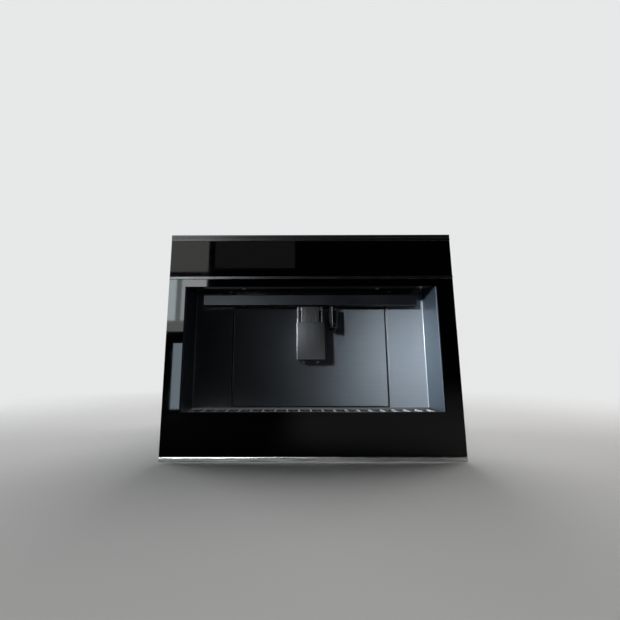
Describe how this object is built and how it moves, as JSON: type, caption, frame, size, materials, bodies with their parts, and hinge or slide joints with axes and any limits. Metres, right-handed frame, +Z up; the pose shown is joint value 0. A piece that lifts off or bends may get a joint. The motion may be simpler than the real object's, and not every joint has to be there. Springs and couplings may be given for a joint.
{
  "type": "built in coffee machine",
  "caption": "Built in coffee machine with a black glass front and a steel cup niche; it slides out on rails and its niche door gives access to the brewing space.",
  "frame": {"origin": "middle of the footprint at shelf level", "axes": "+X to the right of someone facing the front, +Y into the cabinet, +Z up; the front faces -Y"},
  "size_m": [0.595, 0.475, 0.46],
  "materials": {
    "black_glass": "polished black glass",
    "satin_steel": "satin",
    "bright_steel": "bright satin",
    "niche_steel": "dark anthracite, semi-gloss",
    "dark_steel": "dark, semi-gloss",
    "gloss_black": "gloss",
    "black_plastic": "fine texture",
    "grey_plastic": "fine texture",
    "clear_plastic": "clear",
    "smoke_plastic": "smoke tinted",
    "red_plastic": "gloss",
    "lamp_lens": "frosted",
    "zinc_steel": "galvanised",
    "cast_aluminium": "cast",
    "burr_steel": "ground",
    "motor_steel": "satin",
    "hose_silicone": "matt",
    "circuit_board": "lacquered"
  },
  "bodies": {
    "cabinet_rails": {"left_outer_rail": "zinc_steel", "right_outer_rail": "zinc_steel"},
    "rail_middles": {"middle_rails": "zinc_steel"},
    "machine": {"front_glass": "black_glass", "fascia_glass": "black_glass", "fascia_frame": "satin_steel", "bottom_trim": "bright_steel", "front_carrier": "black_plastic", "display_module": "circuit_board", "niche_left_wall": "niche_steel", "niche_right_wall": "niche_steel", "niche_ceiling": "gloss_black", "niche_floor": "black_plastic", "left_back_panel": "niche_steel", "right_back_panel": "niche_steel", "light_beam": "dark_steel", "niche_lamps": "lamp_lens", "left_inner_rail": "zinc_steel", "right_inner_rail": "zinc_steel", "base_tray": "zinc_steel", "left_side_panel": "zinc_steel", "right_side_panel": "zinc_steel", "rear_panel": "zinc_steel", "top_cover": "zinc_steel", "front_bulkhead": "zinc_steel", "panel_screws": "bright_steel", "tank_bay": "grey_plastic", "bean_hopper": "smoke_plastic", "coffee_chute": "grey_plastic", "grinder_housing": "cast_aluminium", "upper_burr": "burr_steel", "grinder_motor": "motor_steel", "brew_frame": "grey_plastic", "grounds_container": "black_plastic", "boilers": "cast_aluminium", "water_pump": "motor_steel", "flow_meter": "grey_plastic", "water_hoses": "hose_silicone", "power_board": "circuit_board", "power_inlet": "black_plastic", "fan_frame": "black_plastic"},
    "service_door": {"service_door_skin": "niche_steel", "service_door_liner": "black_plastic", "outlet_neck": "dark_steel", "hot_water_nozzle": "gloss_black"},
    "outlet": {"outlet_cover": "satin_steel", "outlet_nozzles": "black_plastic"},
    "drip_tray": {"drip_tray": "grey_plastic"},
    "drip_grille": {"drip_grille": "bright_steel"},
    "tray_float": {"tray_float": "red_plastic"},
    "bean_lid": {"bean_lid": "black_plastic"},
    "ground_coffee_lid": {"ground_coffee_lid": "black_plastic"},
    "water_tank": {"water_tank": "clear_plastic"},
    "tank_lid": {"tank_lid": "grey_plastic"},
    "grind_dial": {"grind_dial": "black_plastic"},
    "grinder_rotor": {"lower_burr": "burr_steel"},
    "fan_rotor": {"fan_rotor": "black_plastic"},
    "power_rocker": {"power_rocker": "black_plastic"},
    "brew_piston": {"brew_piston": "black_plastic"},
    "brew_spindle": {"brew_spindle": "burr_steel"}
  },
  "joints": [
    {"name": "rail_extend", "type": "slide", "parent": "cabinet_rails", "child": "rail_middles", "axis": [0, -1, 0], "range_m": [0, 0.15]},
    {"name": "machine_slide", "type": "slide", "parent": "cabinet_rails", "child": "machine", "axis": [0, -1, 0], "range_m": [0, 0.3]},
    {"name": "service_door_swing", "type": "hinge", "parent": "machine", "child": "service_door", "pos_m": [-0.1665, -0.1572, 0.2], "axis": [0, 0, -1], "range_deg": [0, 105]},
    {"name": "outlet_height", "type": "slide", "parent": "service_door", "child": "outlet", "axis": [0, 0, -1], "range_m": [-0.026, 0.036]},
    {"name": "drip_tray_lift", "type": "slide", "parent": "machine", "child": "drip_tray", "axis": [0, 0, -1], "range_m": [-0.055, 0]},
    {"name": "grille_lift", "type": "slide", "parent": "drip_tray", "child": "drip_grille", "axis": [0, 0, -1], "range_m": [-0.025, 0]},
    {"name": "float_rise", "type": "slide", "parent": "drip_tray", "child": "tray_float", "axis": [0, 0, 1], "range_m": [0, 0.008]},
    {"name": "bean_lid_swing", "type": "hinge", "parent": "machine", "child": "bean_lid", "pos_m": [0.095, 0.1665, 0.4455], "axis": [-1, 0, 0], "range_deg": [0, 100]},
    {"name": "ground_coffee_lid_swing", "type": "hinge", "parent": "machine", "child": "ground_coffee_lid", "pos_m": [0.095, -0.0055, 0.4455], "axis": [-1, 0, 0], "range_deg": [0, 100]},
    {"name": "tank_lift", "type": "slide", "parent": "machine", "child": "water_tank", "axis": [0, 0, 1], "range_m": [0, 0.12]},
    {"name": "tank_lid_swing", "type": "hinge", "parent": "water_tank", "child": "tank_lid", "pos_m": [-0.216, 0.2065, 0.4385], "axis": [-1, 0, 0], "range_deg": [0, 95]},
    {"name": "grind_dial_turn", "type": "hinge", "parent": "machine", "child": "grind_dial", "pos_m": [0.218, 0.0625, 0.44], "axis": [0, 0, 1], "range_deg": [0, 270]},
    {"name": "grinder_spin", "type": "hinge", "parent": "machine", "child": "grinder_rotor", "pos_m": [0.095, 0.0775, 0.3], "axis": [0, 0, 1], "continuous": true},
    {"name": "fan_spin", "type": "hinge", "parent": "machine", "child": "fan_rotor", "pos_m": [0.19, 0.2225, 0.16], "axis": [0, 1, 0], "continuous": true},
    {"name": "power_rocker_tilt", "type": "hinge", "parent": "machine", "child": "power_rocker", "pos_m": [-0.15, 0.2295, 0.062], "axis": [-1, 0, 0], "range_deg": [0, 14]},
    {"name": "brew_spindle_turn", "type": "hinge", "parent": "machine", "child": "brew_spindle", "pos_m": [0.145, -0.0675, 0.19], "axis": [0, 0, 1], "range_deg": [0, 1800]},
    {"name": "brew_piston_travel", "type": "slide", "parent": "machine", "child": "brew_piston", "axis": [0, 0, -1], "range_m": [0, 0.05]}
  ],
  "couplings": [
    {"joint": "rail_extend", "follows": "machine_slide", "ratio": 0.5},
    {"joint": "brew_spindle_turn", "follows": "brew_piston_travel", "rad_per_m": 628.32}
  ]
}
